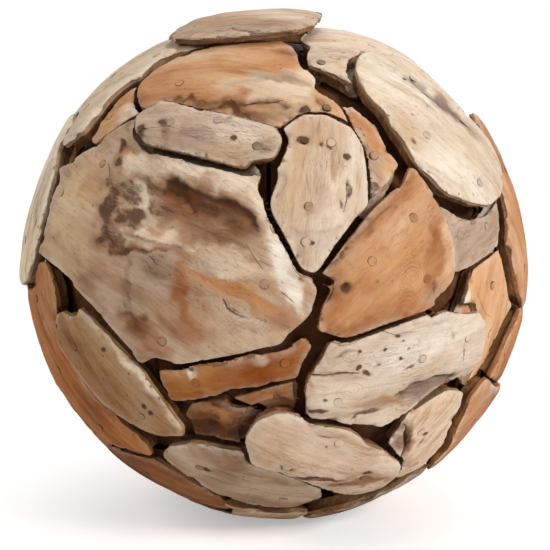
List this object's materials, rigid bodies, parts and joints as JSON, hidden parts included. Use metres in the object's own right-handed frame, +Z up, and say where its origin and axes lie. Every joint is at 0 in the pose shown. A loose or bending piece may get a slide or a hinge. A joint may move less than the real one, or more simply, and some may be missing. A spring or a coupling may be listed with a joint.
{
  "type": "wooden ball",
  "caption": "Decorative ball of weathered root-wood slabs, pegged in overlapping courses over an inner layer of blocks, standing on a small flat.",
  "frame": {"origin": "middle of the small flat that the ball stands on", "axes": "+Z up through the middle of the ball; -Y towards the side with the large scooped slab; +X to the right of someone who faces that side"},
  "size_m": [0.4041, 0.3967, 0.4036],
  "materials": {
    "beige_wood": "weathered, dry and unvarnished",
    "brown_wood": "weathered, dry and unvarnished",
    "cream_wood": "weathered, dry and unvarnished",
    "dark_wood": "weathered, dry and unvarnished",
    "grey_wood": "weathered, dry and unvarnished",
    "orange_wood": "weathered, dry and unvarnished",
    "peg_wood": "weathered, dry and unvarnished",
    "tan_wood": "weathered, dry and unvarnished"
  },
  "bodies": {
    "root": {"top_cap": "grey_wood", "cross_plank": "grey_wood", "long_right_slab": "cream_wood", "orange_shield": "orange_wood", "lower_right_slab": "cream_wood", "foot_oval": "cream_wood", "left_rim_slab": "beige_wood", "lower_right_wedge": "beige_wood", "right_foot_slab": "tan_wood", "shield_slab": "beige_wood", "upper_front_slab": "orange_wood", "left_lower_plank": "grey_wood", "face_slab": "tan_wood", "upper_right_slab": "cream_wood", "front_foot_slab": "beige_wood", "right_rim_slab": "orange_wood", "right_lower_slab": "brown_wood", "left_shoulder_slab": "beige_wood", "left_wedge": "beige_wood", "trim_strip": "orange_wood", "left_strip": "brown_wood", "left_foot_slab": "brown_wood", "foot_strip": "grey_wood", "base_slab": "brown_wood", "right_grey_slab": "grey_wood", "right_inner_slab": "orange_wood", "dark_chunk": "brown_wood", "small_chip": "brown_wood", "tan_wedge": "tan_wood", "right_shoulder_strip": "grey_wood", "rear_crown": "beige_wood", "rear_upper_middle": "cream_wood", "rear_right_middle": "beige_wood", "rear_lower_middle": "grey_wood", "rear_left_middle": "cream_wood", "rear_foot_left": "grey_wood", "left_rear_lower_slab": "beige_wood", "rear_left_shoulder": "grey_wood", "rear_foot_right": "orange_wood", "rear_upper_right": "tan_wood", "rear_middle": "orange_wood", "rear_upper_left": "orange_wood", "left_rear_slab": "tan_wood", "rear_lower_right": "brown_wood", "rear_lower_left": "tan_wood", "rear_foot_middle": "beige_wood", "left_rear_foot": "brown_wood", "backing_block_1": "dark_wood", "backing_block_2": "dark_wood", "backing_block_3": "dark_wood", "backing_block_4": "dark_wood", "backing_block_5": "dark_wood", "backing_block_6": "dark_wood", "backing_block_7": "dark_wood", "backing_block_8": "dark_wood", "backing_block_9": "dark_wood", "backing_block_10": "dark_wood", "backing_block_11": "dark_wood", "backing_block_12": "dark_wood", "pegs": "peg_wood"}
  },
  "joints": []
}
